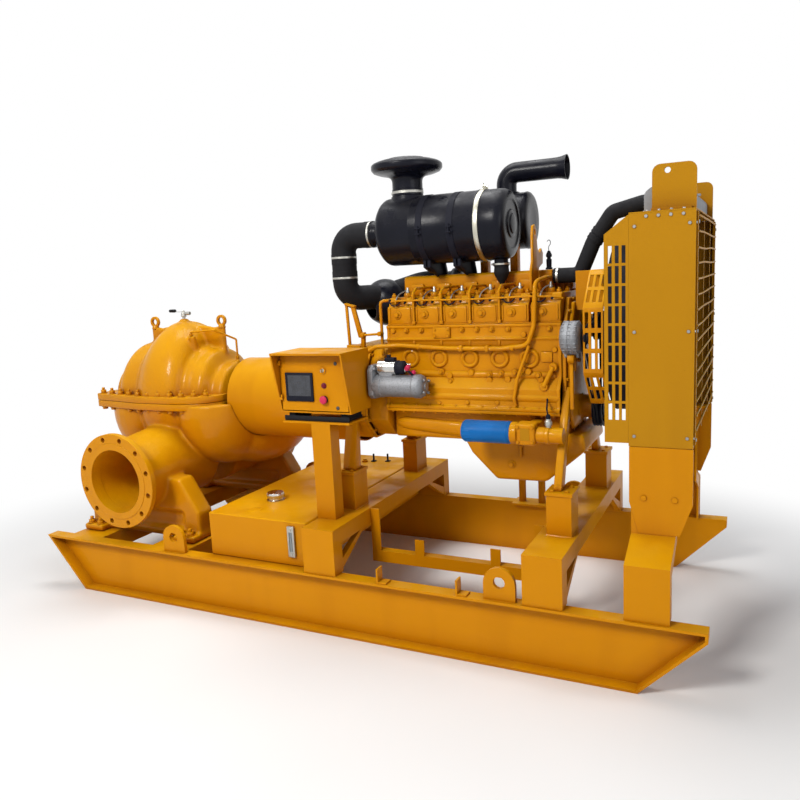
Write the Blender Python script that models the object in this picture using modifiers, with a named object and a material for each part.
"""Split case pump driven by a six-cylinder diesel engine, on a sledge skid.

Metres, +Z up. X runs along the skid (pump at -X, radiator at +X), Y across it
with the control panel at -Y, and the origin is at the middle of the footprint.
"""

import math

import bmesh
import bpy
from mathutils import Matrix, Vector

# Clearances: between pieces that touch, round pieces that move, and the depth
# by which the welded pieces of one body run into each other
SEAT = 0.0003
RUNNING = 0.005
LAP = 0.002

# Lengths along the skid, from the pump's end to the radiator's end
PUMP_END = 0.560
COUPLING_SPAN = 1.230
BELL_LENGTH = 0.260
BLOCK_GAP = 0.005
BLOCK_LENGTH = 0.880
COVER_LENGTH = 0.100
FAN_REACH = 0.170
RADIATOR_GAP = 0.070
RADIATOR_DEPTH = 0.245
RADIATOR_END = 0.080
TO_ENGINE = PUMP_END + COUPLING_SPAN + BELL_LENGTH + BLOCK_GAP
TO_RADIATOR = BLOCK_LENGTH + COVER_LENGTH + FAN_REACH + RADIATOR_GAP
SKID_LENGTH = TO_ENGINE + TO_RADIATOR + RADIATOR_DEPTH + RADIATOR_END

# Skid
SKID_WIDTH = 1.46
RAIL_HEIGHT = 0.30
RAIL_FLANGE = 0.070
RAIL_PLATE = 0.012
RAIL_NOSE = 0.26
RAIL_TIP = 0.040
BEAM_DEPTH = 0.10
BEAM_PLATE = 0.010
RAIL_Y = SKID_WIDTH / 2
WEB_Y = RAIL_Y - RAIL_FLANGE

# Pump casing and its nozzles
VOLUTE_R = 0.455
RING_R = 0.303
DOME_R = 0.330
NECK_R = 0.207
NECK_REACH = 0.395
FREE_REACH = 0.455
SQUEEZE = 0.24
SPLIT_HALF = 0.040
SPLIT_DRIVE_X = 0.470
SPLIT_FREE_X = 0.515
SPLIT_Y = 0.360
NOZZLE_FACE_Y = 0.700
NOZZLE_DROP = 0.376
NOZZLE_R = 0.205
FLANGE_R = 0.2667
FLANGE_THICK = 0.036
FLANGE_BORE_R = 0.1778
FLANGE_CIRCLE_R = 0.23815
FLANGE_HOLE_R = 0.0143
FLANGE_HOLES = 12
FLANGE_GROUND = 0.0883
NOZZLE_Z = RAIL_HEIGHT + FLANGE_GROUND + FLANGE_R
SHAFT_Z = NOZZLE_Z + NOZZLE_DROP
PUMP_X = -SKID_LENGTH / 2 + PUMP_END
FLUSH_X = PUMP_X + 0.140
FLUSH_END_X = PUMP_X + NECK_REACH - 0.035

# Shaft, coupling guard and bearing cover
SHAFT_R = 0.045
HUB_R = 0.130
GUARD_R = 0.230
COVER_R = 0.150

# Engine
CYLINDERS = 6
BLOCK_HALF = 0.240
BELL_HALF = 0.285
BLOCK_HEIGHT = 0.407
SKIRT = 0.038
RIM = 0.010
HEAD_HEIGHT = 0.135
MANIFOLD_HEIGHT = 0.103
BELL_X = (PUMP_X + COUPLING_SPAN, PUMP_X + COUPLING_SPAN + BELL_LENGTH)
BLOCK_X = (BELL_X[1] + BLOCK_GAP, BELL_X[1] + BLOCK_GAP + BLOCK_LENGTH)
FRONT_X = BLOCK_X[1] + COVER_LENGTH
CYLINDER_PITCH = BLOCK_LENGTH / CYLINDERS
PAN_RAIL_Z = SHAFT_Z + 0.014
COVER_LOW = SHAFT_Z - 0.101
DECK_Z = PAN_RAIL_Z + BLOCK_HEIGHT
HEAD_TOP = DECK_Z + HEAD_HEIGHT
MANIFOLD_TOP = HEAD_TOP + MANIFOLD_HEIGHT
GUARD_X = (PUMP_X + NECK_REACH + 0.045, BELL_X[0] - SEAT)

# Engine frames, standing on the rails
FRAME_HEIGHT = 0.225
FRAME_PLATE = 0.010
FRAME_DEPTH = 0.080
FRAME_INSET = 0.010
PEDESTAL_HEIGHT = 0.197
FRAME_TOP = RAIL_HEIGHT + FRAME_HEIGHT
FRAME_HALF_WIDTH = RAIL_Y - FRAME_INSET
PEDESTAL_TOP = FRAME_TOP + PEDESTAL_HEIGHT
REAR_FRAME_X = (BELL_X[0] - 0.010, BELL_X[0] + 0.165)
FRONT_FRAME_X = (BLOCK_X[1] - 0.065, BLOCK_X[1] + 0.107)

# Radiator and fan
SHEET = 0.005
RADIATOR_HALF = 0.530
RADIATOR_BELOW = 0.452
RADIATOR_ABOVE = 0.467
FAN_RISE = 0.389
FAN_R = 0.385
FAN_X = FRONT_X + FAN_REACH
FAN_Z = SHAFT_Z + FAN_RISE
RADIATOR_X = (FAN_X + RADIATOR_GAP, FAN_X + RADIATOR_GAP + RADIATOR_DEPTH)
RADIATOR_Z = (FAN_Z - RADIATOR_BELOW, FAN_Z + RADIATOR_ABOVE)

# Control box on its post
BOX_HALF = 0.200
BOX_HEIGHT = 0.300
BOX_DEPTH = 0.270
BOX_CLEAR = 0.065
BOX_SLOPE = 0.070
BOX_SHEET = 0.008
BOX_ROOF = 0.010
POST_HEIGHT = 0.489
TRAY_PLATE = 0.008
BUFFER_HEIGHT = 0.041
BOX_X = REAR_FRAME_X[0] + 0.020
BOX_Y = (-BELL_HALF - BOX_CLEAR - BOX_DEPTH, -BELL_HALF - BOX_CLEAR)
TRAY_TOP = FRAME_TOP + POST_HEIGHT
BOX_Z = (TRAY_TOP + BUFFER_HEIGHT, TRAY_TOP + BUFFER_HEIGHT + BOX_HEIGHT)
DOOR_Y = BOX_Y[0] + BOX_SLOPE

# Air cleaner and exhaust silencer
CLEANER_Y = -0.050
CLEANER_R = 0.170
CLEANER_LENGTH = 0.690
CLEANER_GROUND = 0.055
SILENCER_Y = 0.275
SILENCER_R = 0.145
SILENCER_LENGTH = 0.670
SILENCER_GROUND = 0.213
EXHAUST_R = 0.052
TURBO_Y = 0.325
HOSE_Y = -0.048
CLEANER_X = (BLOCK_X[0] - 0.074, BLOCK_X[0] - 0.074 + CLEANER_LENGTH)
CLEANER_Z = MANIFOLD_TOP + CLEANER_GROUND + CLEANER_R
SILENCER_X = CLEANER_X[0] + 0.019
SILENCER_Z = HEAD_TOP + SILENCER_GROUND + SILENCER_R
CLEANER_SIDES = 32
SILENCER_SIDES = 28
HOSE_X = (BLOCK_X[1] - 0.0767, RADIATOR_X[0] + 0.045 - SEAT)

NEAR, FAR = -1, 1

for leftover in list(bpy.data.objects):
    bpy.data.objects.remove(leftover, do_unlink=True)

PARTS = bpy.data.collections.new("split_case_pump_set")
CUTTERS = bpy.data.collections.new("cutters")
for group in (PARTS, CUTTERS):
    bpy.context.scene.collection.children.link(group)


# Materials

def material(name, colour, roughness, metallic=0.0):
    made = bpy.data.materials.new(name)
    made.use_nodes = True
    shader = made.node_tree.nodes["Principled BSDF"]
    shader.inputs["Base Color"].default_value = (*colour, 1.0)
    shader.inputs["Roughness"].default_value = roughness
    shader.inputs["Metallic"].default_value = metallic
    return made


PAINT = material("yellow_paint", (0.78, 0.37, 0.015), 0.35)
MUSTARD = material("radiator_paint", (0.62, 0.33, 0.02), 0.45)
BLACK = material("black_paint", (0.012, 0.012, 0.016), 0.35)
RUBBER = material("black_rubber", (0.015, 0.015, 0.017), 0.75)
STEEL = material("bright_steel", (0.62, 0.62, 0.60), 0.30, 1.0)
CHROME = material("chrome", (0.80, 0.80, 0.80), 0.12, 1.0)
CAST_ALLOY = material("cast_aluminium", (0.55, 0.55, 0.54), 0.50, 0.8)
FILTER_BLUE = material("filter_blue", (0.02, 0.14, 0.50), 0.35)
GREY = material("radiator_grey", (0.32, 0.33, 0.34), 0.55)
SCREEN = material("display_glass", (0.02, 0.02, 0.03), 0.15)
RED = material("signal_red", (0.55, 0.03, 0.06), 0.35)


# Shapes

def place(bm):
    mesh = bpy.data.meshes.new("shape")
    bm.to_mesh(mesh)
    bm.free()
    obj = bpy.data.objects.new("shape", mesh)
    CUTTERS.objects.link(obj)
    return obj


def baked(obj):
    """The object's evaluated shape as a plain mesh in world coordinates."""
    bpy.context.view_layer.update()
    graph = bpy.context.evaluated_depsgraph_get()
    mesh = bpy.data.meshes.new_from_object(obj.evaluated_get(graph))
    bm = bmesh.new()
    bm.from_mesh(mesh)
    bm.transform(obj.matrix_world)
    bmesh.ops.remove_doubles(bm, verts=bm.verts, dist=0.00001)
    bmesh.ops.recalc_face_normals(bm, faces=bm.faces)
    bpy.data.objects.remove(obj, do_unlink=True)
    return place(bm)


def block(x, y, z):
    """A box between two limits along each axis."""
    low = Vector((min(x), min(y), min(z)))
    high = Vector((max(x), max(y), max(z)))
    bm = bmesh.new()
    bmesh.ops.create_cube(bm, size=1.0)
    bmesh.ops.scale(bm, vec=high - low, verts=bm.verts)
    bmesh.ops.translate(bm, vec=(high + low) / 2, verts=bm.verts)
    return place(bm)


def rod(start, end, radius, sides, end_radius=None):
    """A straight cylinder or cone between two points."""
    start, end = Vector(start), Vector(end)
    along = end - start
    turn = along.to_track_quat("Z", "Y").to_matrix().to_4x4()
    bm = bmesh.new()
    bmesh.ops.create_cone(
        bm,
        cap_ends=True,
        segments=sides,
        radius1=radius,
        radius2=radius if end_radius is None else end_radius,
        depth=along.length,
        matrix=Matrix.Translation((start + end) / 2) @ turn,
    )
    return place(bm)


FLAT_TURN = {
    "Z": Matrix.Identity(4),
    "Y": Matrix(((1, 0, 0, 0), (0, 0, -1, 0), (0, 1, 0, 0), (0, 0, 0, 1))),
    "X": Matrix(((0, 0, 1, 0), (1, 0, 0, 0), (0, 1, 0, 0), (0, 0, 0, 1))),
}


def plate(axis, outlines, low, high):
    """A flat outline, with any holes after it, thickened along one axis.

    Outlines hold (y, z) for X, (x, z) for Y and (x, y) for Z.
    """
    curve = bpy.data.curves.new("outline", "CURVE")
    curve.dimensions = "2D"
    curve.fill_mode = "BOTH"
    curve.extrude = abs(high - low) / 2
    for outline in outlines:
        spline = curve.splines.new("POLY")
        spline.points.add(len(outline) - 1)
        for point, (a, b) in zip(spline.points, outline):
            point.co = (a, b, 0.0, 1.0)
        spline.use_cyclic_u = True
    obj = bpy.data.objects.new("outline", curve)
    CUTTERS.objects.link(obj)
    shift = {"X": (1, 0, 0), "Y": (0, 1, 0), "Z": (0, 0, 1)}[axis]
    obj.matrix_world = Matrix.Translation(Vector(shift) * (low + high) / 2) @ FLAT_TURN[axis]
    return baked(obj)


def turned(profile, centre, direction, steps):
    """A profile of (radius, height), outer side top to bottom, turned about a line."""
    bm = bmesh.new()
    verts = [bm.verts.new((radius, 0.0, height)) for radius, height in profile]
    for first, second in zip(verts, verts[1:]):
        bm.edges.new((first, second))
    obj = place(bm)
    screw = obj.modifiers.new("turn", "SCREW")
    screw.steps = steps
    screw.render_steps = steps
    screw.use_merge_vertices = True
    screw.merge_threshold = 0.0001
    turn = Vector(direction).to_track_quat("Z", "Y").to_matrix().to_4x4()
    obj.matrix_world = Matrix.Translation(centre) @ turn
    return baked(obj)


def tube(points, radius, resolution):
    """A round bar or hose along points, with closed ends."""
    curve = bpy.data.curves.new("run", "CURVE")
    curve.dimensions = "3D"
    curve.bevel_depth = radius
    curve.bevel_resolution = resolution
    curve.use_fill_caps = True
    spline = curve.splines.new("POLY")
    spline.points.add(len(points) - 1)
    for point, place_at in zip(spline.points, points):
        point.co = (*place_at, 1.0)
    obj = bpy.data.objects.new("run", curve)
    CUTTERS.objects.link(obj)
    return baked(obj)


def rounded_path(corners, radius, steps):
    """The corners of a pipe run, with each bend as an arc of the given radius."""
    corners = [Vector(corner) for corner in corners]
    path = [corners[0]]
    for before, corner, after in zip(corners, corners[1:], corners[2:]):
        back = (before - corner).normalized()
        on = (after - corner).normalized()
        half = back.angle(on) / 2
        reach = radius / math.tan(half)
        middle = corner + (back + on).normalized() * (radius / math.sin(half))
        first = (corner + back * reach - middle).normalized()
        last = (corner + on * reach - middle).normalized()
        path += [middle + radius * first.slerp(last, i / steps) for i in range(steps + 1)]
    path.append(corners[-1])
    return path


def circle(centre, radius, sides):
    return [
        (
            centre[0] + radius * math.cos(2 * math.pi * i / sides),
            centre[1] + radius * math.sin(2 * math.pi * i / sides),
        )
        for i in range(sides)
    ]


def rectangle(a, b):
    return [(a[0], b[0]), (a[1], b[0]), (a[1], b[1]), (a[0], b[1])]


def inset(outline, width):
    """A convex outline moved inwards by a width on every side."""
    count = len(outline)
    middle = Vector((sum(p[0] for p in outline) / count, sum(p[1] for p in outline) / count))
    lines = []
    for i in range(count):
        start = Vector(outline[i])
        along = (Vector(outline[(i + 1) % count]) - start).normalized()
        inward = Vector((-along.y, along.x))
        if inward.dot(middle - start) < 0:
            inward.negate()
        lines.append((start + inward * width, along))
    moved = []
    for (p, u), (q, v) in zip([lines[-1], *lines], lines):
        share = (q - p).cross(v) / u.cross(v)
        moved.append(tuple(p + u * share))
    return moved


def mirrored(outline):
    return [(-a, b) for a, b in reversed(outline)]


def combined(obj, tools, operation, solver="EXACT"):
    for tool in tools:
        tool.hide_render = True
        tool.display_type = "WIRE"
        step = obj.modifiers.new(operation.lower(), "BOOLEAN")
        step.operation = operation
        step.solver = solver
        step.object = tool
    return obj


def hollowed(obj, *tools):
    """The object with tools cut out of it, before anything is joined to it."""
    return combined(obj, tools, "DIFFERENCE")


def part(name, look, pieces, cuts=(), bevel=0.0, smooth=None, solver="EXACT"):
    """One named body: pieces joined, cuts taken out, edges rounded."""
    obj, *others = pieces
    CUTTERS.objects.unlink(obj)
    PARTS.objects.link(obj)
    obj.name = name
    obj.data.name = name
    combined(obj, others, "UNION", solver)
    combined(obj, cuts, "DIFFERENCE", solver)
    if bevel:
        weld = obj.modifiers.new("weld", "WELD")
        weld.merge_threshold = 0.0001
        edge = obj.modifiers.new("edges", "BEVEL")
        edge.width = bevel
        edge.segments = 1
        edge.limit_method = "ANGLE"
        edge.angle_limit = math.radians(40)
    obj.data.materials.clear()
    obj.data.materials.append(look)
    if smooth:
        obj.data.shade_smooth()
        obj.data.set_sharp_from_angle(angle=math.radians(smooth))
    return obj


def pivot(obj, origin):
    """The object's origin moved onto its joint axis, with its shape left where it is."""
    shift = Vector(origin)
    obj.data.transform(Matrix.Translation(-shift))
    obj.location = shift
    return obj


# Skid

def rail_outline():
    half = SKID_LENGTH / 2
    return [
        (-half, RAIL_HEIGHT),
        (-half + RAIL_NOSE, 0.0),
        (half - RAIL_NOSE, 0.0),
        (half, RAIL_HEIGHT - RAIL_TIP),
        (half, RAIL_HEIGHT),
    ]


def rails():
    for side, name in ((NEAR, "near_rail"), (FAR, "far_rail")):
        outline = rail_outline()
        body = plate("Y", [outline], side * RAIL_Y, side * WEB_Y)
        pocket_y = (side * (RAIL_Y + RAIL_PLATE), side * (WEB_Y + RAIL_PLATE))
        pocket = plate("Y", [inset(outline, RAIL_PLATE)], *pocket_y)
        extras = [lifting_eye(x, side * EYE_Y) for x in EYES_X]
        extras += battery_stops() if side == NEAR else drain_pipes()
        part(name, PAINT, [hollowed(body, pocket), *extras])


def cross_beam(name, x):
    """A channel with its open side down, between the rails' webs."""
    reach = WEB_Y - SEAT
    low = RAIL_HEIGHT - BEAM_DEPTH
    outline = [
        (x[0], low),
        (x[0], RAIL_HEIGHT),
        (x[1], RAIL_HEIGHT),
        (x[1], low),
        (x[1] - BEAM_PLATE, low),
        (x[1] - BEAM_PLATE, RAIL_HEIGHT - BEAM_PLATE),
        (x[0] + BEAM_PLATE, RAIL_HEIGHT - BEAM_PLATE),
        (x[0] + BEAM_PLATE, low),
    ]
    part(name, PAINT, [plate("Y", [outline], -reach, reach)])


EYE_HALF = 0.072
EYE_HEIGHT = 0.147
EYE_HOLE_R = 0.027
EYE_HOLE_Z = 0.080
EYE_THICK = 0.020
EYE_Y = RAIL_Y - 0.030
EYES_X = (PUMP_X + 0.392, FRONT_FRAME_X[0] - 0.104)


def lifting_eye(x, y):
    """A round-topped plate with its hole, welded to the rail's top flange."""
    foot = RAIL_HEIGHT - LAP
    shoulder = RAIL_HEIGHT + EYE_HEIGHT - EYE_HALF
    arc = [
        (x + EYE_HALF * math.cos(t), shoulder + EYE_HALF * math.sin(t))
        for t in (math.pi * i / 10 for i in range(11))
    ]
    outline = [(x - EYE_HALF, foot), (x + EYE_HALF, foot), *arc]
    hole = circle((x, RAIL_HEIGHT + EYE_HOLE_Z), EYE_HOLE_R, 12)
    return plate("Y", [outline, hole], y - EYE_THICK / 2, y + EYE_THICK / 2)


STOP_WIDTH = 0.050
STOP_PLATE = 0.008
STOP_HEIGHT = 0.072
PIPE_R = 0.022
PIPE_HEIGHT = 0.260


def battery_stops():
    """Short angles on the near rail that keep the batteries in their place."""
    foot = RAIL_HEIGHT - LAP
    y = (-RAIL_Y + 0.005, -RAIL_Y + 0.055)
    pieces = []
    for x in (REAR_FRAME_X[1] + 0.223, REAR_FRAME_X[1] + 0.615):
        pieces.append(block((x, x + STOP_WIDTH), y, (foot, foot + STOP_PLATE + LAP)))
        pieces.append(block((x, x + STOP_PLATE), y, (foot, foot + STOP_HEIGHT)))
    return pieces


def battery_tray():
    """An angle bar between the engine frames, with its uprights and its own stops."""
    outer = -RAIL_Y + 0.390
    inner = outer + STOP_WIDTH
    web_y = (outer, outer + STOP_PLATE)
    x0, x1 = REAR_FRAME_X[1] + SEAT, FRONT_FRAME_X[0] - SEAT
    bar = block((x0, x1), (outer, inner), (RAIL_HEIGHT - 0.010, RAIL_HEIGHT))
    web = block((x0, x1), web_y, (RAIL_HEIGHT - 0.060, RAIL_HEIGHT))
    foot = RAIL_HEIGHT - 0.030
    uprights = [
        block((x, x + STOP_WIDTH), web_y, (foot, FRAME_TOP - LAP)) for x in (x0, x1 - STOP_WIDTH)
    ]
    stops = [
        block((x, x + STOP_WIDTH), web_y, (foot, RAIL_HEIGHT + 0.080))
        for x in (REAR_FRAME_X[1] + 0.245, REAR_FRAME_X[1] + 0.645)
    ]
    part("battery_bar", PAINT, [bar, web, *uprights, *stops])


def drain_pipes():
    """Two stub pipes on their plate, on the far rail."""
    x = REAR_FRAME_X[1] + 0.455
    y = RAIL_Y - 0.066
    foot = RAIL_HEIGHT - LAP
    base = block((x, x + 0.220), (y - 0.064, y + 0.064), (foot, foot + 0.012))
    top = RAIL_HEIGHT + PIPE_HEIGHT
    pipes = [rod((px, y, foot + 0.005), (px, y, top), PIPE_R, 12) for px in (x + 0.050, x + 0.170)]
    tie = block((x + 0.045, x + 0.175), (y - 0.009, y + 0.009), (top - 0.030, top - 0.010))
    return [base, *pipes, tie]


# Engine frames

def engine_frame(name, x, pedestals):
    """A portal of bent channel on the rails, with straps and engine pedestals."""
    foot = RAIL_HEIGHT + SEAT
    half = FRAME_HALF_WIDTH
    inner = half - FRAME_DEPTH
    under = FRAME_TOP - FRAME_DEPTH
    outline = [
        (-half, foot),
        (-half, FRAME_TOP),
        (half, FRAME_TOP),
        (half, foot),
        (inner, foot),
        (inner, under),
        (-inner, under),
        (-inner, foot),
    ]
    t = FRAME_PLATE
    hollow = [
        (-half + t, foot - t),
        (-half + t, FRAME_TOP - t),
        (half - t, FRAME_TOP - t),
        (half - t, foot - t),
        (inner + t, foot - t),
        (inner + t, under + t),
        (-inner - t, under + t),
        (-inner - t, foot - t),
    ]
    body = plate("X", [outline], x[0], x[1])
    pocket = plate("X", [hollow], x[0] - t, x[1] - t)
    straps = []
    for side in (NEAR, FAR):
        strap = [
            (side * (inner + 2 * LAP), foot + 0.010),
            (side * (inner + 2 * LAP), foot + 0.060),
            (side * (inner - STRAP_REACH + 0.040), under + 2 * LAP),
            (side * (inner - STRAP_REACH), under + 2 * LAP),
        ]
        straps.append(plate("X", [strap], x[1] - 0.030, x[1] - LAP))
    stands = []
    for px, py in pedestals:
        stands.append(block(px, py, (FRAME_TOP - 2 * LAP, PEDESTAL_TOP - PEDESTAL_CAP)))
        cap_x = (px[0] - 0.006, px[1] + 0.006)
        cap_y = (py[0] - 0.006, py[1] + 0.006)
        stands.append(block(cap_x, cap_y, (PEDESTAL_TOP - PEDESTAL_CAP - LAP, PEDESTAL_TOP)))
    part(name, PAINT, [hollowed(body, pocket), *straps, *stands])


def pedestals(x, ys):
    return [(x, y) for y in ys]


STRAP_REACH = 0.235
PEDESTAL_CAP = 0.012
REAR_PEDESTALS = pedestals(
    (REAR_FRAME_X[0] + 0.030, REAR_FRAME_X[0] + 0.120), ((-0.395, -0.255), (0.370, 0.510))
)
FRONT_PEDESTALS = pedestals(
    (FRONT_FRAME_X[0] + 0.040, FRONT_FRAME_X[0] + 0.152), ((-0.460, -0.330), (0.345, 0.475))
)

TANK_HALF = WEB_Y + 0.008
TANK_TOP = RAIL_HEIGHT + 0.230
TANK_X = (PUMP_X + 0.610, REAR_FRAME_X[0] - RUNNING)
CAP_R = 0.050


def fuel_tank():
    foot = RAIL_HEIGHT + SEAT
    body = block(TANK_X, (-TANK_HALF, TANK_HALF), (foot, TANK_TOP))
    part("fuel_tank", PAINT, [body], bevel=0.006)
    cap = [
        (0.0, 0.046), (CAP_R - 0.010, 0.046), (CAP_R, 0.038), (CAP_R, 0.014),
        (CAP_R - 0.010, 0.012), (CAP_R - 0.010, 0.0), (0.0, 0.0),
    ]
    seat = (TANK_X[0] + 0.220, -TANK_HALF + 0.298, TANK_TOP + SEAT)
    part("fuel_filler_cap", CHROME, [turned(cap, seat, (0, 0, 1), 24)], smooth=35)
    gauge_x = (TANK_X[1] - 0.107, TANK_X[1] - 0.067)
    gauge_y = (-TANK_HALF - SEAT, -TANK_HALF - 0.018)
    gauge = block(gauge_x, gauge_y, (TANK_TOP - 0.180, TANK_TOP - 0.022))
    part("fuel_level_gauge", STEEL, [gauge], bevel=0.006)


# Pump

def casing_profile():
    """A section of the casing from its drive end to its free end, as (radius, distance)."""
    drive, free = NECK_REACH, FREE_REACH
    return [
        (0.0, drive),
        (NECK_R - 0.057, drive),
        (NECK_R - 0.042, drive - 0.020),
        (NECK_R, drive - 0.030),
        (NECK_R, drive - 0.090),
        (RING_R - 0.053, drive - 0.130),
        (RING_R - 0.018, drive - 0.160),
        (RING_R, drive - 0.205),
        (RING_R + 0.007, 0.150),
        (VOLUTE_R - 0.105, 0.135),
        (VOLUTE_R - 0.055, 0.108),
        (VOLUTE_R - 0.017, 0.066),
        (VOLUTE_R, -0.015),
        (VOLUTE_R - 0.017, -0.085),
        (VOLUTE_R - 0.050, -0.125),
        (VOLUTE_R - 0.110, -0.180),
        (DOME_R, -0.205),
        (DOME_R, -free + 0.175),
        (DOME_R - 0.030, -free + 0.115),
        (NECK_R + 0.040, -free + 0.080),
        (NECK_R, -free + 0.060),
        (NECK_R, -free + 0.025),
        (NECK_R - 0.057, -free),
        (0.0, -free),
    ]


def casing_body():
    """The casing as cast: turned about the shaft, then drawn in across it, the volute the most."""
    body = turned(casing_profile(), (PUMP_X, 0.0, SHAFT_Z), (1, 0, 0), 28)
    for vertex in body.data.vertices:
        radius = math.hypot(vertex.co.y, vertex.co.z - SHAFT_Z)
        if radius > NECK_R:
            vertex.co.y *= 1 - SQUEEZE * (radius - NECK_R) / (VOLUTE_R - NECK_R)
    return body


def suction_chamber(centre, radii):
    """A bulb of the lower casing, placed from the middle of the shaft."""
    bm = bmesh.new()
    bmesh.ops.create_uvsphere(bm, u_segments=20, v_segments=8, radius=1.0)
    upright = Matrix.Rotation(math.pi / 2, 3, "Y")
    bmesh.ops.rotate(bm, cent=(0, 0, 0), matrix=upright, verts=bm.verts)
    bmesh.ops.scale(bm, vec=radii, verts=bm.verts)
    shaft = Vector((PUMP_X, 0.0, SHAFT_Z))
    bmesh.ops.translate(bm, vec=shaft + Vector(centre), verts=bm.verts)
    return place(bm)


def split_outline():
    """The joint flange from above: broad round the volute and the free end, narrow at the drive."""
    drive, free, y = SPLIT_DRIVE_X, SPLIT_FREE_X, SPLIT_Y
    near = [
        (-free, -y + 0.070),
        (-free + 0.010, -y + 0.060),
        (-free + 0.115, -y + 0.045),
        (-0.220, -y + 0.015),
        (-0.120, -y),
        (0.120, -y),
        (0.200, -y + 0.005),
        (drive - 0.170, -y + 0.042),
        (drive - 0.125, -y + 0.075),
        (drive - 0.085, -y + 0.140),
        (drive - 0.050, -y + 0.195),
        (drive, -y + 0.210),
    ]
    outline = near + [(a, -b) for a, b in reversed(near)]
    return [(PUMP_X + a, b) for a, b in outline]


def nozzle(side):
    """A flanged nozzle from the lower casing out to one side, bored to the flange."""
    face = side * NOZZLE_FACE_Y
    back = side * (NOZZLE_FACE_Y - FLANGE_THICK)
    root = (PUMP_X, side * 0.10, NOZZLE_Z + 0.030)
    pipe = rod(root, (PUMP_X, back, NOZZLE_Z), NOZZLE_R + 0.030, 32, NOZZLE_R)
    rim = (PUMP_X, back - side * LAP, NOZZLE_Z)
    flange = rod((PUMP_X, face, NOZZLE_Z), rim, FLANGE_R, 40)
    mouth = face + side * FLANGE_THICK
    floor = (PUMP_X, face - side * NOZZLE_DEPTH, NOZZLE_Z)
    bore = rod((PUMP_X, mouth, NOZZLE_Z), floor, FLANGE_BORE_R, 36)
    holes = []
    for i in range(FLANGE_HOLES):
        angle = 2 * math.pi * (i + 0.5) / FLANGE_HOLES
        x = PUMP_X + FLANGE_CIRCLE_R * math.cos(angle)
        z = NOZZLE_Z + FLANGE_CIRCLE_R * math.sin(angle)
        holes.append(rod((x, mouth, z), (x, back - side * FLANGE_THICK, z), FLANGE_HOLE_R, 6))
    return [pipe, flange], [bore, *holes]


NOZZLE_DEPTH = 0.500
FOOT_HALF = 0.410
FOOT_Y = (0.400, 0.520)
PAD = 0.040
RIB_REACH = 0.285
RIB_THICK = 0.032
LUG_R = 0.034
LUG_HOLE_R = 0.019
VENT_X = PUMP_X - 0.026
VENT_RISE = 0.017
FLUSH_Y = -0.137
FLUSH_Z = SHAFT_Z + VOLUTE_R - 0.079


def upper_side(cut):
    """All that lies above a cut across the casing."""
    x = (PUMP_X - 2 * FREE_REACH, PUMP_X + 2 * FREE_REACH)
    return block(x, (-NOZZLE_FACE_Y, NOZZLE_FACE_Y), (cut, SHAFT_Z + 2 * VOLUTE_R))


def lower_side(cut):
    """All that lies below a cut across the casing."""
    x = (PUMP_X - 2 * FREE_REACH, PUMP_X + 2 * FREE_REACH)
    return block(x, (-NOZZLE_FACE_Y, NOZZLE_FACE_Y), (SHAFT_Z - 2 * VOLUTE_R, cut))


def casing_recesses():
    """Room at both ends of the shaft line for the coupling guard and the bearing cover."""
    ends = []
    for reach, radius in ((NECK_REACH, GUARD_R + RUNNING), (-FREE_REACH, COVER_R)):
        ends.append(rod((PUMP_X + reach, 0, SHAFT_Z), (PUMP_X + 2 * reach, 0, SHAFT_Z), radius, 32))
    return ends


def pump_foot(side):
    """A tapered web under the nozzle, on two pads."""
    foot = RAIL_HEIGHT + SEAT
    half = FOOT_HALF
    shoulder = foot + 0.150
    top = NOZZLE_Z - 0.015
    outline = [
        (PUMP_X - half, foot),
        (PUMP_X + half, foot),
        (PUMP_X + half, shoulder),
        (PUMP_X + half - 0.120, top),
        (PUMP_X - half + 0.120, top),
        (PUMP_X - half, shoulder),
    ]
    web = plate("Y", [outline], side * FOOT_Y[0], side * FOOT_Y[1])
    pad_y = (side * (FOOT_Y[0] - 0.050), side * (FOOT_Y[1] + 0.070))
    pads = [
        block((PUMP_X + end * (half + 0.005), PUMP_X + end * (half - 0.140)), pad_y, (foot, foot + PAD))
        for end in (-1, 1)
    ]
    return [web, *pads]


# Bulbs of the lower casing: centre from the middle of the shaft, and half lengths
CHAMBERS = [
    ((0.270, -0.020, -0.081), (0.270, 0.330, 0.330)),
    ((0.340, 0.220, -0.181), (0.270, 0.400, 0.270)),
    ((-0.265, -0.020, -0.081), (0.250, 0.310, 0.330)),
    ((-0.310, 0.220, -0.181), (0.240, 0.380, 0.270)),
]


def pump_lower():
    pieces = [casing_body()]
    for centre, radii in CHAMBERS:
        pieces.append(suction_chamber(centre, radii))
    cuts = [upper_side(SHAFT_Z - SEAT / 2), *casing_recesses()]
    for side in (NEAR, FAR):
        shapes, holes = nozzle(side)
        pieces += shapes + pump_foot(side)
        cuts += holes
    pieces.append(plate("Z", [split_outline()], SHAFT_Z - SPLIT_HALF, SHAFT_Z - SEAT / 2))
    part("pump_lower_casing", PAINT, pieces, cuts, smooth=35, solver="MANIFOLD")


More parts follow.
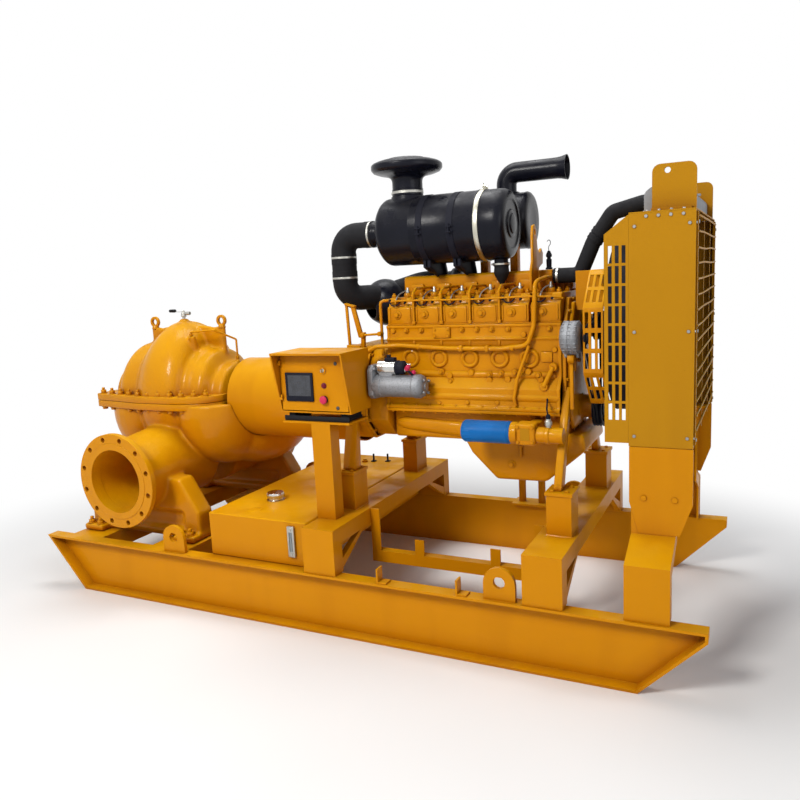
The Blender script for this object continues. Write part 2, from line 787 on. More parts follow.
def pump_upper():
    crown = SHAFT_Z + VOLUTE_R
    shoulder = crown - 0.205
    rib = [
        (PUMP_X - RIB_REACH, shoulder),
        (PUMP_X - RIB_REACH, crown - 0.030),
        (PUMP_X - 0.130, crown - 0.035),
        (PUMP_X + 0.130, crown - 0.035),
        (PUMP_X + RIB_REACH, crown - 0.030),
        (PUMP_X + RIB_REACH, shoulder),
    ]
    fin = plate("Y", [rib], -RIB_THICK / 2, RIB_THICK / 2)
    flange = plate("Z", [split_outline()], SHAFT_Z + SEAT / 2, SHAFT_Z + SPLIT_HALF)
    boss = rod((VENT_X, 0, crown - 0.025), (VENT_X, 0, crown + VENT_RISE), 0.026, 12)
    flank = (FLUSH_X, -0.080, FLUSH_Z - 0.156)
    side_boss = rod(flank, (FLUSH_X, FLUSH_Y, FLUSH_Z), 0.018, 10)
    neck = (FLUSH_END_X, 0, SHAFT_Z + NECK_R - 0.037)
    neck_boss = rod(neck, (FLUSH_END_X, 0, SHAFT_Z + NECK_R + 0.015), 0.014, 10)
    eyes = []
    top = crown - 0.035
    for x in (PUMP_X - RIB_REACH + 0.023, PUMP_X + RIB_REACH - 0.023):
        middle = (x, top + LUG_R)
        ring = [circle(middle, LUG_R, 16), circle(middle, LUG_HOLE_R, 12)]
        eyes.append(plate("Y", ring, -0.009, 0.009))
        eyes.append(rod((x, 0, top), (x, 0, top + 0.013), 0.022, 10))
    pieces = [casing_body(), fin, flange, boss, side_boss, neck_boss, *eyes]
    cuts = [lower_side(SHAFT_Z + SEAT / 2), *casing_recesses()]
    part("pump_upper_casing", PAINT, pieces, cuts, smooth=35, solver="MANIFOLD")


VENT_HEIGHT = 0.040


def vent_cock():
    """A ball cock on the casing's crown, with its lever on a joint of its own."""
    x = VENT_X
    foot = SHAFT_Z + VOLUTE_R + VENT_RISE + SEAT
    body = [
        rod((x, 0, foot), (x, 0, foot + VENT_HEIGHT), 0.010, 14),
        rod((x, 0, foot + 0.010), (x, 0, foot + 0.026), 0.017, 6),
        rod((x - LAP, 0, foot + 0.030), (x + 0.050, 0, foot + 0.030), 0.011, 14),
    ]
    part("vent_cock", STEEL, body)
    top = foot + VENT_HEIGHT + 0.001
    hub = rod((x, 0, top), (x, 0, top + 0.010), 0.010, 14)
    handle = block((x - 0.078, x), (-0.005, 0.005), (top + 0.002, top + 0.008))
    grip = rod((x - 0.110, 0, top + 0.006), (x - 0.062, 0, top + 0.006), 0.010, 12)
    lever = part("vent_cock_lever", BLACK, [hub, handle, grip])
    pivot(lever, (x, 0.0, top))


def drive_line():
    shaft_end = (BELL_X[0] - SEAT, 0, SHAFT_Z)
    shaft = rod((PUMP_X + NECK_REACH + SEAT, 0, SHAFT_Z), shaft_end, SHAFT_R, 16)
    middle = (GUARD_X[0] + GUARD_X[1]) / 2 - 0.005
    hubs = [
        rod((middle - 0.110, 0, SHAFT_Z), (middle - 0.010, 0, SHAFT_Z), HUB_R, 20),
        rod((middle + 0.010, 0, SHAFT_Z), (middle + 0.110, 0, SHAFT_Z), HUB_R, 20),
        rod((middle - 0.020, 0, SHAFT_Z), (middle + 0.020, 0, SHAFT_Z), HUB_R - 0.020, 20),
    ]
    part("pump_shaft", STEEL, [shaft, *hubs])
    axis = (0.0, SHAFT_Z)
    ring = [circle(axis, GUARD_R, 36), circle(axis, GUARD_R - SHEET, 36)]
    part("coupling_guard", PAINT, [plate("X", ring, *GUARD_X)], smooth=35)
    cover = [
        (0.0, 0.060), (COVER_R - 0.070, 0.060), (COVER_R - 0.040, 0.045),
        (COVER_R - 0.040, 0.010), (COVER_R - 0.010, 0.0), (0.0, 0.0),
    ]
    end = (PUMP_X - FREE_REACH - SEAT, 0, SHAFT_Z)
    part("bearing_cover", PAINT, [turned(cover, end, (-1, 0, 0), 28)], smooth=35)


def flush_tube():
    """The seal flushing pipe from the volute's flank to the drive-end neck."""
    neck_top = SHAFT_Z + NECK_R + 0.015 + SEAT
    corners = [
        (FLUSH_X, FLUSH_Y, FLUSH_Z + SEAT),
        (FLUSH_X, FLUSH_Y - 0.008, FLUSH_Z + 0.022),
        (FLUSH_X + 0.150, FLUSH_Y + 0.027, FLUSH_Z + 0.029),
        (FLUSH_END_X, 0.0, neck_top + 0.1177),
        (FLUSH_END_X, 0.0, neck_top),
    ]
    part("flush_tube", PAINT, [tube(rounded_path(corners, 0.012, 3), 0.006, 2)])


# Engine

BELL_STEP = 0.150
NOSE_LENGTH = 0.060
PAN_HALF = 0.215
HEAD_FAR_Y = BLOCK_HALF - 0.025
HEAD_GAP = 0.008
ROCKER_HEIGHT = 0.075
PULLEY_R = 0.095
BLADES = 8
BLADE_X = 0.015
SLOT_WIDTH = 0.016
SLOT_HEIGHT = 0.068
FILTER_R = 0.053
FILTER_LENGTH = 0.235
TURBO_REACH = 0.085


def bell_housing():
    z = SHAFT_Z
    outline = [
        (-BELL_HALF + 0.095, z - 0.169), (BELL_HALF - 0.095, z - 0.169), (BELL_HALF, z - 0.071),
        (BELL_HALF, z + 0.179), (BELL_HALF - 0.095, z + 0.314), (-BELL_HALF + 0.095, z + 0.314),
        (-BELL_HALF, z + 0.179), (-BELL_HALF, z - 0.071),
    ]
    step = BELL_X[0] + BELL_STEP
    rear = plate("X", [outline], BELL_X[0], step)
    front = plate("X", [inset(outline, 0.020)], step - LAP, BELL_X[1])
    feet = [
        foot_arm(y, (x[0] + 0.010, x[1] - 0.010), 0.275, SHAFT_Z - 0.031)
        for x, y in REAR_PEDESTALS
    ]
    part("bell_housing", PAINT, [rear, front, *feet])


def engine_block():
    half = BLOCK_HALF
    side = [
        (half - 0.012, DECK_Z - SEAT),
        (half, DECK_Z - 0.030),
        (half, PAN_RAIL_Z + 0.155),
        (half + SKIRT, PAN_RAIL_Z + 0.105),
        (half + SKIRT, PAN_RAIL_Z),
    ]
    outline = [*side, *mirrored(side)]
    body = plate("X", [outline], *BLOCK_X)
    plug_z = PAN_RAIL_Z + 0.245
    plugs = []
    for i in range(1, CYLINDERS):
        x = BLOCK_X[0] + CYLINDER_PITCH * i + 0.005
        plugs.append(rod((x, -half - 0.008, plug_z), (x, -half + 0.004, plug_z), 0.036, 14))
    edge = half + SKIRT + RIM
    rail = block(BLOCK_X, (-edge, edge), (PAN_RAIL_Z, PAN_RAIL_Z + 0.018))
    part("engine_block", PAINT, [body, rail, *plugs])


def cylinder_heads():
    """Six separate heads on one gasket, with the stays that carry the silencer."""
    near, far = -BLOCK_HALF + 0.008, BLOCK_HALF - 0.025
    gasket_top = DECK_Z + 0.006
    pieces = [block(BLOCK_X, (near - 0.004, HEAD_FAR_Y + 0.004), (DECK_Z, gasket_top))]
    cover_y = (far - 0.087, far - 0.010)
    for i in range(CYLINDERS):
        start = BLOCK_X[0] + i * CYLINDER_PITCH
        x = (start + HEAD_GAP / 2, start + CYLINDER_PITCH - HEAD_GAP / 2)
        pieces.append(block(x, (near, HEAD_FAR_Y), (gasket_top - 2 * LAP, HEAD_TOP)))
        cover_x = (x[0] + 0.008, x[1] - 0.008)
        pieces.append(block(cover_x, cover_y, (HEAD_TOP - LAP, HEAD_TOP + ROCKER_HEIGHT)))
    outlet_x = (BLOCK_X[1] - 0.145, HOSE_X[0] - SEAT)
    outlet_y = (HOSE_Y - 0.032, HOSE_Y + 0.033)
    pieces.append(block(outlet_x, outlet_y, (HEAD_TOP - LAP, MANIFOLD_TOP)))
    seat_x = (SILENCER_X + 0.300, SILENCER_X + 0.700)
    seat_ends = [(x, SILENCER_Y, SILENCER_Z) for x in seat_x]
    seat = rod(*seat_ends, SILENCER_R + SEAT, SILENCER_SIDES)
    foot = HEAD_TOP + ROCKER_HEIGHT - RUNNING
    for x in (SILENCER_X + 0.420, SILENCER_X + 0.580):
        stay = block((x, x + 0.040), (cover_y[0] + 0.022, cover_y[1] - 0.005), (foot, SILENCER_Z - 0.065))
        pieces.append(hollowed(stay, seat))
    part("cylinder_heads", PAINT, pieces)


def oil_pan():
    top = PAN_RAIL_Z - SEAT
    low = PAN_RAIL_Z - 0.163
    deep = [
        (BLOCK_X[0], top), (BLOCK_X[1], top), (BLOCK_X[1], COVER_LOW),
        (FRONT_X - 0.010, COVER_LOW), (FRONT_X, PAN_RAIL_Z - 0.185),
        (FRONT_X - 0.086, PAN_RAIL_Z - 0.263), (FRONT_X - 0.190, PAN_RAIL_Z - 0.352),
        (BLOCK_X[0] + 0.545, PAN_RAIL_Z - 0.355), (BLOCK_X[0] + 0.420, PAN_RAIL_Z - 0.228),
        (BLOCK_X[0] + 0.385, low), (BLOCK_X[0], low),
    ]
    body = plate("Y", [deep], -PAN_HALF, PAN_HALF)
    edge = BLOCK_HALF + SKIRT + RIM
    lip = block((BLOCK_X[0], BLOCK_X[1] - LAP), (-edge, edge), (top - 0.016, top))
    part("oil_pan", PAINT, [body, lip], bevel=0.006)


def front_cover():
    z = SHAFT_Z
    outline = [
        (-0.180, COVER_LOW + SEAT), (0.180, COVER_LOW + SEAT), (0.235, z - 0.011),
        (0.235, DECK_Z - 0.052), (0.150, DECK_Z + 0.108), (-0.150, DECK_Z + 0.108),
        (-0.235, DECK_Z - 0.052), (-0.235, z - 0.011),
    ]
    face = FRONT_X - NOSE_LENGTH
    body = plate("X", [outline], BLOCK_X[1] + SEAT, face)
    noses = [
        rod((face - LAP, 0, height), (FRONT_X, 0, height), 0.060, 16) for height in (FAN_Z, SHAFT_Z)
    ]
    foot_x = (face - 0.039, face - 0.003)
    feet = [foot_arm(y, foot_x, 0.225, SHAFT_Z + 0.059) for x, y in FRONT_PEDESTALS]
    part("timing_cover", PAINT, [body, *noses, *feet])
    rim, root = PULLEY_R, PULLEY_R - 0.009
    grooves = [
        (0.0, 0.045), (rim, 0.045), (rim, 0.036), (root, 0.0305), (rim, 0.025), (rim, 0.020),
        (root, 0.0145), (rim, 0.009), (rim, 0.0), (0.0, 0.0),
    ]
    crank = turned(grooves, (FRONT_X + SEAT, 0, SHAFT_Z), (1, 0, 0), 20)
    part("crank_pulley", BLACK, [crank])


def fan():
    boss = rod((FRONT_X + SEAT, 0, FAN_Z), (FAN_X + 0.045, 0, FAN_Z), 0.050, 16)
    disc = rod((FAN_X, 0, FAN_Z), (FAN_X + 2 * BLADE_X, 0, FAN_Z), 0.120, 20)
    blades = []
    for i in range(BLADES):
        blade = block((-0.003, 0.003), (-0.060, 0.060), (0.090, FAN_R))
        pitch = Matrix.Rotation(math.radians(62), 4, "Z")
        turn = Matrix.Rotation(2 * math.pi * i / BLADES, 4, "X") @ pitch
        blade.data.transform(Matrix.Translation((FAN_X + BLADE_X, 0, FAN_Z)) @ turn)
        blades.append(blade)
    made = part("fan", BLACK, [boss, disc, *blades])
    pivot(made, (FAN_X + BLADE_X, 0.0, FAN_Z))


def pulley_guard():
    """An eight-sided slotted hood over the belts."""
    x = (FRONT_X + 0.020, FRONT_X + 0.107)
    centre, half, flat = FAN_Z - 0.040, 0.350, 0.200
    tall, short = 0.300, 0.140
    outline = [
        (-half, centre - short), (-half, centre + short), (-flat, centre + tall), (flat, centre + tall),
        (half, centre + short), (half, centre - short), (flat, centre - tall), (-flat, centre - tall),
    ]
    ring = plate("X", [outline, inset(outline, SHEET)], *x)
    arm_x = (FRONT_X - NOSE_LENGTH + SEAT, x[0] + 0.045)
    arm_z = (centre + 0.120, centre + tall - LAP)
    arms = [block(arm_x, (y - 0.003, y + 0.003), arm_z) for y in (-0.120, 0.120)]
    through = (x[0] - RUNNING, x[1] + RUNNING)
    slots = [block(through, (-0.120, 0.120), (centre - tall - 0.02, centre - tall + 0.02))]
    for side in (NEAR, FAR):
        y = (side * (half - 0.02), side * (half + 0.02))
        for row in (-1, 0, 1):
            for column in (0, 1):
                slot_x = x[0] + SLOT_WIDTH + 0.040 * column
                slot_z = centre + 0.088 * row
                z = (slot_z - SLOT_HEIGHT / 2, slot_z + SLOT_HEIGHT / 2)
                slots.append(block((slot_x, slot_x + SLOT_WIDTH), y, z))
    part("pulley_guard", PAINT, [ring, *arms], slots)


def starter():
    """The starter motor on the block's near side, its nose in the bell housing."""
    x = BELL_X[1]
    y = -BLOCK_HALF - SKIRT - 0.062 - SEAT
    z = PAN_RAIL_Z + 0.120
    body = [
        rod((x - 0.040, y, z), (x + 0.255, y, z), 0.058, 20),
        rod((BELL_X[0] + BELL_STEP + SEAT, y + 0.032, z), (x - 0.020, y + 0.032, z), 0.040, 14),
        rod((x, y + 0.004, z + 0.090), (x + 0.150, y + 0.004, z + 0.090), 0.036, 16),
        block((x + 0.005, x + 0.080), (y - 0.020, y + 0.030), (z + 0.025, z + 0.075)),
        block((x - 0.040, x - 0.010), (y - 0.055, y + 0.0615), (z - 0.065, z + 0.105)),
    ]
    part("starter_motor", CAST_ALLOY, body, smooth=35)


def oil_filter():
    """The spin-on filter lying along the engine, and the head that carries it."""
    y, z = -BLOCK_HALF - 0.140, SHAFT_Z - 0.064
    profile = [
        (0.0, FILTER_LENGTH), (0.046, FILTER_LENGTH), (FILTER_R, FILTER_LENGTH - 0.009),
        (FILTER_R, 0.010), (FILTER_R - 0.005, 0.0), (0.0, 0.0),
    ]
    x = BLOCK_X[1] - 0.200
    can = turned(profile, (x, y, z), (-1, 0, 0), 24)
    part("oil_filter", FILTER_BLUE, [can], smooth=35)
    x += SEAT
    head = [
        rod((x, y, z), (x + 0.030, y, z), FILTER_R - 0.003, 20),
        block((x + 0.028, x + 0.120), (y - 0.040, y + 0.050), (z - 0.050, z + 0.050)),
        block((x + 0.060, x + 0.115), (y + 0.040, -PAN_HALF - SEAT), (z - 0.040, z + 0.040)),
        rod((x + 0.118, y, z - 0.005), (BLOCK_X[1] + 0.039, y, z - 0.005), 0.036, 16),
    ]
    part("oil_filter_head", PAINT, head)


def alternator():
    profile = [
        (0.0, 0.092), (0.050, 0.092), (0.070, 0.082), (0.074, 0.064), (0.074, 0.024), (0.064, 0.006),
        (0.040, 0.0), (0.0, 0.0),
    ]
    x, z = BLOCK_X[1] + 0.020, DECK_Z - 0.061
    body = turned(profile, (x, -BLOCK_HALF - 0.080, z), (1, 0, 0), 24)
    foot = block((x + 0.010, x + 0.060), (-BLOCK_HALF - 0.030, -0.235 - SEAT), (z - 0.071, z - 0.021))
    part("alternator", CAST_ALLOY, [body, foot], smooth=35)


def intake_manifold():
    """The cast rail along the heads, with the saddles that carry the air cleaner."""
    x = (BLOCK_X[0] - 0.010, BLOCK_X[1] - 0.005)
    rail = block(x, (0.000, 0.120), (HEAD_TOP + SEAT, MANIFOLD_TOP))
    foot = MANIFOLD_TOP - 0.010
    top = MANIFOLD_TOP + CLEANER_GROUND + 0.055
    outline = [(0.010, foot), (0.110, foot), (0.060, top), (-0.130, top), (-0.130, top - 0.060)]
    ends = [(x, CLEANER_Y, CLEANER_Z) for x in CLEANER_X]
    seat = rod(*ends, CLEANER_R + SEAT, CLEANER_SIDES)
    saddles = []
    for x in (CLEANER_X[0] + 0.239, CLEANER_X[0] + 0.399):
        saddles.append(hollowed(plate("X", [outline], x, x + 0.040), seat))
    part("intake_manifold", PAINT, [rail, *saddles])


def foot_arm(y, x, reach_y, reach_z):
    """A slanted bracket from a pedestal's cap up to the engine's side."""
    cap = PEDESTAL_TOP + SEAT
    middle = (y[0] + y[1]) / 2
    side = NEAR if middle < 0 else FAR
    outline = [
        (middle - 0.035, cap),
        (middle + 0.035, cap),
        (middle + 0.035, cap + 0.014),
        (middle - 0.035, cap + 0.014),
        (side * reach_y, reach_z),
        (side * reach_y, reach_z + 0.070),
    ]
    return hull_plate(outline, *x)


def hull_plate(outline, low, high):
    """A plate across X over the outline's convex hull."""
    bm = bmesh.new()
    for x in (low, high):
        for y, z in outline:
            bm.verts.new((x, y, z))
    made = bmesh.ops.convex_hull(bm, input=bm.verts)
    bmesh.ops.delete(bm, geom=made["geom_interior"], context="VERTS")
    bmesh.ops.recalc_face_normals(bm, faces=bm.faces)
    return place(bm)


def exhaust_side():
    """The manifold, turbocharger and its outlet on the far side of the heads."""
    y = HEAD_FAR_Y + SEAT
    top = DECK_Z + 0.108
    log_x = (BLOCK_X[0] + 0.035, BLOCK_X[1] - 0.035)
    log = block(log_x, (y + 0.020, y + 0.090), (top - 0.080, top))
    ports = []
    for i in range(CYLINDERS):
        x = BLOCK_X[0] + (i + 0.5) * CYLINDER_PITCH
        ports.append(block((x - 0.030, x + 0.030), (y, y + 0.030), (top - 0.070, top - 0.010)))
    part("exhaust_manifold", PAINT, [log, *ports], bevel=0.008)
    x = BLOCK_X[0] + TURBO_REACH
    z = top + SEAT
    turbo = [
        rod((x + 0.060, TURBO_Y, z + 0.088), (x + 0.140, TURBO_Y, z + 0.088), 0.085, 24),
        rod((x, TURBO_Y, z + 0.088), (x + 0.062, TURBO_Y, z + 0.088), 0.060, 20),
        block((x + 0.070, x + 0.130), (y + 0.025, y + 0.085), (z, z + 0.030)),
    ]
    part("turbocharger", CAST_ALLOY, turbo, smooth=35)


# Air cleaner and exhaust

NECK_X = CLEANER_X[0] + 0.136
NECK_TOP = CLEANER_Z + CLEANER_R + 0.004
SPIGOT = 0.060
HOOD_R = 0.180
HOSE_R = 0.036


def air_cleaner():
    x0, x1 = CLEANER_X
    r, length = CLEANER_R, CLEANER_LENGTH
    profile = [
        (0.0, length), (0.055, length), (0.055, length - 0.010), (r - 0.020, length - 0.010),
        (r, length - 0.030), (r, length - 0.130), (r + 0.004, length - 0.134),
        (r + 0.004, length - 0.146), (r, length - 0.150), (r, 0.040), (r - 0.020, 0.0), (0.0, 0.0),
    ]
    body = turned(profile, (x0, CLEANER_Y, CLEANER_Z), (1, 0, 0), CLEANER_SIDES)
    spigot_end = (x0 - SPIGOT, CLEANER_Y, CLEANER_Z)
    spigot = rod((x0 + 0.004, CLEANER_Y, CLEANER_Z), spigot_end, 0.066, 20)
    neck_foot = (NECK_X, CLEANER_Y, CLEANER_Z + r - 0.030)
    neck = rod(neck_foot, (NECK_X, CLEANER_Y, NECK_TOP), 0.085, 20, 0.078)
    valve_x = x1 - 0.071
    valve_top = CLEANER_Z - r - 0.010
    outlet = rod(
        (valve_x, CLEANER_Y, valve_top + 0.040), (valve_x, CLEANER_Y, valve_top), 0.034, 16
    )
    part("air_cleaner", BLACK, [body, spigot, neck, outlet], smooth=35, solver="MANIFOLD")
    hood = [
        (0.0, 0.185), (HOOD_R - 0.080, 0.185), (HOOD_R - 0.012, 0.165), (HOOD_R, 0.150), (HOOD_R, 0.128),
        (HOOD_R - 0.022, 0.112), (0.095, 0.100), (0.076, 0.085), (0.076, 0.0), (0.0, 0.0),
    ]
    top = turned(hood, (NECK_X, CLEANER_Y, NECK_TOP + SEAT), (0, 0, 1), 28)
    part("pre_cleaner", BLACK, [top], smooth=35)
    spout = [(0.0, 0.0), (0.040, 0.0), (0.036, -0.050), (0.008, -0.110), (0.0, -0.110)]
    valve = turned(spout, (valve_x, CLEANER_Y, valve_top - SEAT), (0, 0, 1), 18)
    part("dust_valve", RUBBER, [valve], smooth=35)


def intake_pipes():
    """The rubber pipe from the air cleaner round to the turbocharger's inlet."""
    z = DECK_Z + 0.108 + SEAT + 0.088
    x = CLEANER_X[0] - 0.261
    end = BLOCK_X[0] + TURBO_REACH - 0.0005
    dip = z - 0.060
    corners = [
        (CLEANER_X[0] - SPIGOT - SEAT, CLEANER_Y, CLEANER_Z), (x, CLEANER_Y, CLEANER_Z),
        (x, CLEANER_Y, dip), (x + 0.150, 0.130, dip), (x + 0.290, TURBO_Y, z), (end, TURBO_Y, z),
    ]
    part("intake_elbow", RUBBER, [tube(rounded_path(corners, 0.085, 5), 0.068, 3)], smooth=40)


def silencer():
    """The silencer can, with its outlet pipe turned towards the radiator."""
    length, r, y = SILENCER_LENGTH, SILENCER_R, SILENCER_Y
    profile = [
        (0.0, length), (0.110, length), (r, length - 0.020), (r, 0.020), (0.110, 0.0), (0.0, 0.0),
    ]
    body = turned(profile, (SILENCER_X, y, SILENCER_Z), (1, 0, 0), SILENCER_SIDES)
    x = SILENCER_X + 0.533
    z = SILENCER_Z + r + 0.100
    elbow_end = SILENCER_X + 0.800
    corners = [(x, y, SILENCER_Z + r - 0.020), (x, y, z), (elbow_end, y, z)]
    pipe = tube(rounded_path(corners, 0.052, 5), EXHAUST_R, 3)
    tip = elbow_end + 0.050
    flare = rod((elbow_end - 0.020, y, z), (tip, y, z), EXHAUST_R, 24, EXHAUST_R + 0.010)
    bore = rod((tip - 0.110, y, z), (tip + 0.010, y, z), EXHAUST_R - 0.006, 20)
    part("exhaust_silencer", BLACK, [body, pipe, flare], [bore], smooth=40)


# Radiator

LIP = 0.045
LUG_HEIGHT = 0.178
TANK_HEIGHT = 0.113
TANK_FACE = RADIATOR_X[0] + 0.045
GRILLE_RODS = 15
GRILLE_PITCH = 0.0595
GUARD_ROWS = 9
GUARD_PITCH = 0.0785
BRACKET_PLATE = 0.010


def radiator():
    x0, x1 = RADIATOR_X
    z0, z1 = RADIATOR_Z
    half = RADIATOR_HALF
    for side, where in ((NEAR, "near"), (FAR, "far")):
        outline = [
            (x0, side * half), (x1, side * half), (x1, side * (half - LIP)),
            (x1 - SHEET, side * (half - LIP)), (x1 - SHEET, side * (half - SHEET)),
            (x0 + SHEET, side * (half - SHEET)), (x0 + SHEET, side * (half - LIP)),
            (x0, side * (half - LIP)),
        ]
        part(f"radiator_side_{where}", MUSTARD, [plate("Z", [outline], z0, z1)])
    sheet_top = z1 + SEAT + SHEET
    top = [block((x0, x1), (-half, half), (z1 + SEAT, sheet_top))]
    lug_y = half - 0.080
    lug_x = (x0 + 0.077, x1 - 0.005)
    for side in (NEAR, FAR):
        hole = circle((lug_x[0] + 0.057, sheet_top + 0.153), 0.012, 10)
        outline = lug(*lug_x, sheet_top - LAP, sheet_top + LUG_HEIGHT)
        top.append(plate("Y", [outline, hole], side * lug_y, side * (lug_y + 0.010)))
        foot_x = (lug_x[0], lug_x[1] - 0.015)
        foot_y = (side * lug_y, side * (lug_y + 0.040))
        top.append(block(foot_x, foot_y, (sheet_top - LAP, sheet_top + 0.012)))
    part("radiator_top", MUSTARD, top)
    inner = half - SHEET - SEAT
    core = block((x0 + 0.070, x1 - 0.080), (-inner, inner), (z0, z1))
    part("radiator_core", GREY, [core])
    tank_y = (-lug_y + RUNNING, lug_y - RUNNING)
    tank = block((TANK_FACE, x1 - 0.030), tank_y, (sheet_top + SEAT, z1 + TANK_HEIGHT))
    part("radiator_top_tank", GREY, [tank], bevel=0.015)
    reach = half - 0.030
    bar_x = (x1 + SEAT, x1 + 0.012)
    rods = []
    for i in range(GRILLE_RODS):
        z = z1 - 0.021 - GRILLE_PITCH * i
        rods.append(rod((x1 + 0.010, -reach, z), (x1 + 0.010, reach, z), 0.004, 4))
    bars = [
        block(bar_x, (y - 0.010, y + 0.010), (z0 + 0.010, z1 - 0.006)) for y in (-reach, reach)
    ]
    part("radiator_grille", MUSTARD, [*bars, *rods])


def lug(x0, x1, z0, z1):
    r = 0.030
    arc = [(math.cos(t), math.sin(t)) for t in (math.pi / 2 * i / 4 for i in range(5))]
    right = [(x1 - r + r * c, z1 - r + r * s) for c, s in arc]
    left = [(x0 + r - r * c, z1 - r + r * s) for c, s in reversed(arc)]
    return [(x0, z0), (x1, z0), *right, *left]


def fan_guards():
    """Slotted side panels between the pulley guard and the radiator, with their top."""
    x0, x1 = FAN_X - 0.025, RADIATOR_X[0] - SEAT
    low = RADIATOR_Z[0] + 0.012
    high = RADIATOR_Z[1] - 0.001
    drop = 0.071
    outline = [(x0, low), (x1, low), (x1, high), (x0, high - drop)]
    first = RADIATOR_Z[1] - 0.117
    slots = []
    for x in (x0 + 0.023, x0 + 0.050, x0 + 0.076):
        for row in range(GUARD_ROWS):
            z = first - GUARD_PITCH * row
            slots.append(rectangle((x - 0.0075, x + 0.0075), (z - SLOT_HEIGHT, z)))
    inner = RADIATOR_HALF - SHEET
    panels = [plate("Y", [outline, *slots], side * inner, side * RADIATOR_HALF) for side in (NEAR, FAR)]
    a, b = x0 + 0.001, x1 - 0.001
    top = [(a, high - drop - 0.001), (b, high - 0.003), (b, high - 0.008), (a, high - drop - 0.006)]
    reach = RADIATOR_HALF - 0.001
    part("fan_guard", MUSTARD, [*panels, plate("Y", [top], -reach, reach)], solver="MANIFOLD")


def radiator_bracket(side, where):
    """A leg on the rail, a plate sloped inwards, and a widening plate under the casing."""
    foot = RAIL_HEIGHT + SEAT
    t = BRACKET_PLATE
    top = RADIATOR_Z[0] - SEAT
    x0, x1 = RADIATOR_X
    knee, bend = RAIL_HEIGHT + 0.230, RAIL_HEIGHT + 0.300
    outer, inner = RAIL_Y - 0.015, RADIATOR_HALF
    outline = [
        (side * outer, foot), (side * outer, knee), (side * inner, bend),
        (side * inner, top - 2 * LAP), (side * (inner - t), top - 2 * LAP),
        (side * (inner - t), bend - 0.007), (side * (outer - t), knee - 0.007),
        (side * (outer - t), foot),
    ]
    leg = plate("X", [outline], x0 + 0.010, x1 - 0.060)
    flare = [
        (x0 + 0.040, bend + 0.005), (x1 - 0.045, bend + 0.005), (x1 + LAP, bend + 0.135),
        (x1 + LAP, top - LAP), (x0 + LAP, top - LAP), (x0 + LAP, bend + 0.135),
    ]
    wide = plate("Y", [flare], side * (inner + LAP), side * (inner + LAP - t))
    web_outline = [
        (side * (outer - 0.004), foot + LAP), (side * (outer - 0.004), knee - 0.004),
        (side * (inner - 0.004), bend - 0.004), (side * (inner - 0.004), top - 0.006),
        (side * (inner - 0.060), top - 0.006), (side * (inner - 0.060), bend - 0.040),
        (side * (outer - 0.075), knee - 0.050), (side * (outer - 0.075), foot + LAP),
    ]
    web = plate("X", [web_outline], x1 - 0.072, x1 - 0.062)
    shelf_y = (side * (inner - LAP), side * (inner - 0.100))
    shelf = block((x0 + 0.004, x1 - 0.020), shelf_y, (top - 0.010, top))
    part(f"radiator_bracket_{where}", PAINT, [leg, wide, web, shelf])


def coolant_hoses():
    """The upper hose from the thermostat outlet to the radiator's top tank."""
    y = HOSE_Y
    low, high = MANIFOLD_TOP - 0.0305, RADIATOR_Z[1] + 0.073
    corners = [
        (HOSE_X[0], y, low), (HOSE_X[0] + 0.1217, y, low), (HOSE_X[0] + 0.1817, y, low + 0.1405),
        (TANK_FACE - 0.190, y, high - 0.030), (TANK_FACE - 0.060, y, high), (HOSE_X[1], y, high),
    ]
    part("upper_hose", RUBBER, [tube(rounded_path(corners, 0.040, 3), HOSE_R, 2)], smooth=40)


# Control panel

KNUCKLE = 0.004
DOOR_SHEET = 0.004
STEM_R = 0.009


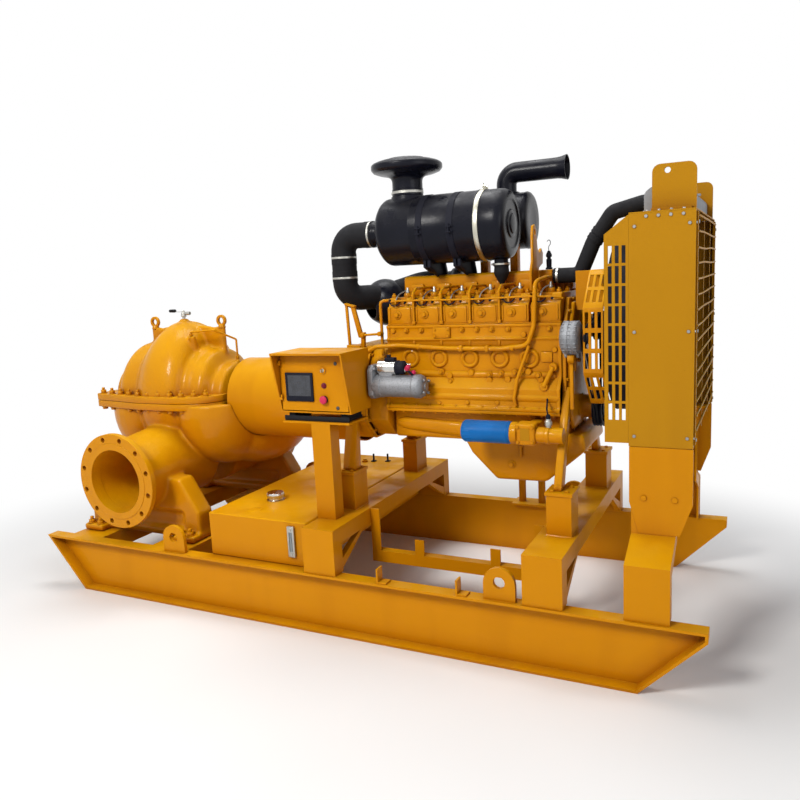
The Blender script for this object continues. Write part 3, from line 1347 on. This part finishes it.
def control_panel():
    """The sloped box, its hinged door, and what the door carries."""
    x, middle = BOX_HALF, BOX_X
    y0, y1 = BOX_Y
    z0, z1 = BOX_Z
    side = [(y1, z0), (DOOR_Y, z0), (y0, z1), (y1, z1)]
    hood = plate("X", [side], middle - x, middle + x)
    inner = x - BOX_SHEET
    inside = block(
        (middle - inner, middle + inner), (y0 - 0.02, y1 - BOX_SHEET), (z0 + BOX_SHEET, z1 - BOX_ROOF)
    )
    hinge_x = middle - inner + 0.010
    hinge_y = DOOR_Y - 0.014
    hinge_z = (z0 + 0.065, z0 + 0.235)
    knuckle_y = (hinge_y - KNUCKLE, hinge_y + KNUCKLE)
    knuckles = [
        block((middle - x + LAP, hinge_x + KNUCKLE), knuckle_y, (z, z + 0.012)) for z in hinge_z
    ]
    part("control_box", PAINT, [hollowed(hood, inside), *knuckles])

    reach = inner - RUNNING
    low, high = z0 + BOX_SHEET + RUNNING, z1 - BOX_ROOF - RUNNING
    face = DOOR_Y - DOOR_SHEET
    leaf = block((middle - reach, middle + reach), (face, DOOR_Y + LAP), (low, high))
    leaf_y = (hinge_y - KNUCKLE, face + LAP)
    leaf_knuckles = [
        block((hinge_x - KNUCKLE, hinge_x + KNUCKLE), leaf_y, (z + 0.013, z + 0.025)) for z in hinge_z
    ]
    control_x = middle + 0.060
    key_z, lamp_z, stop_z = z0 + 0.212, z0 + 0.138, z0 + 0.070
    collar = rod((control_x, DOOR_Y, key_z), (control_x, face - 0.006, key_z), 0.016, 16)
    hole = rod((control_x, face - 0.01, stop_z), (control_x, DOOR_Y + 0.01, stop_z), STEM_R + SEAT, 16)
    door = part("control_door", PAINT, [leaf, *leaf_knuckles, collar], [hole])
    pivot(door, (hinge_x, hinge_y, z0))

    screen_x = (middle - 0.157, middle)
    screen = block(screen_x, (face - SEAT, face - 0.010), (z0 + 0.059, z0 + 0.200))
    part("control_display", SCREEN, [screen], bevel=0.004)
    lamp = [(0.0, 0.012), (0.008, 0.012), (0.012, 0.008), (0.014, 0.003), (0.014, 0.0), (0.0, 0.0)]
    part("warning_lamp", RED, [turned(lamp, (control_x, face - SEAT, lamp_z), (0, -1, 0), 16)])
    key_foot = face - 0.0065
    blade_x = (control_x - 0.003, control_x + 0.003)
    knob = [
        rod((control_x, key_foot, key_z), (control_x, key_foot - 0.0055, key_z), 0.012, 14),
        block(blade_x, (key_foot - 0.0045, face - 0.024), (key_z - 0.011, key_z + 0.011)),
    ]
    pivot(part("key_switch", BLACK, knob), (control_x, face, key_z))
    mushroom = [
        (0.0, 0.026), (0.012, 0.026), (0.019, 0.021), (0.020, 0.014), (0.018, 0.011),
        (STEM_R, 0.011), (STEM_R, -0.012), (0.0, -0.012),
    ]
    button = part("stop_button", RED, [turned(mushroom, (control_x, face, stop_z), (0, -1, 0), 16)])
    pivot(button, (control_x, face, stop_z))


def control_stand():
    """The post on the rear frame, its tray, and the rubber strips under the box."""
    foot = FRAME_TOP + SEAT
    outer = BOX_Y[0] + 0.060
    tray_low = TRAY_TOP - TRAY_PLATE
    post_x = (BOX_X - 0.025, BOX_X + 0.081)
    post = block(post_x, (outer, outer + 0.080), (foot, tray_low))
    tray_x = (BOX_X - BOX_HALF + 0.010, BOX_X + BOX_HALF - 0.010)
    tray = block(tray_x, (outer, BOX_Y[1] - 0.020), (tray_low - LAP, TRAY_TOP))
    part("control_post", PAINT, [post, tray])
    for x, where in ((BOX_X - 0.150, "left"), (BOX_X + 0.150, "right")):
        strip_z = (TRAY_TOP + SEAT, BOX_Z[0] - SEAT)
        strip = block((x - 0.022, x + 0.022), (DOOR_Y + 0.015, BOX_Y[1] - 0.040), strip_z)
        part(f"panel_buffer_{where}", RUBBER, [strip], bevel=0.004)


rails()
cross_beam("end_beam", (PUMP_X - 0.420, PUMP_X - 0.190))
cross_beam("pump_beam", (PUMP_X + 0.190, PUMP_X + 0.440))
battery_tray()
engine_frame("rear_frame", REAR_FRAME_X, REAR_PEDESTALS)
engine_frame("front_frame", FRONT_FRAME_X, FRONT_PEDESTALS)
fuel_tank()
pump_lower()
pump_upper()
vent_cock()
drive_line()
flush_tube()
bell_housing()
engine_block()
cylinder_heads()
oil_pan()
front_cover()
fan()
pulley_guard()
starter()
oil_filter()
alternator()
intake_manifold()
exhaust_side()
air_cleaner()
intake_pipes()
silencer()
radiator()
fan_guards()
radiator_bracket(NEAR, "near")
radiator_bracket(FAR, "far")
coolant_hoses()
control_panel()
control_stand()
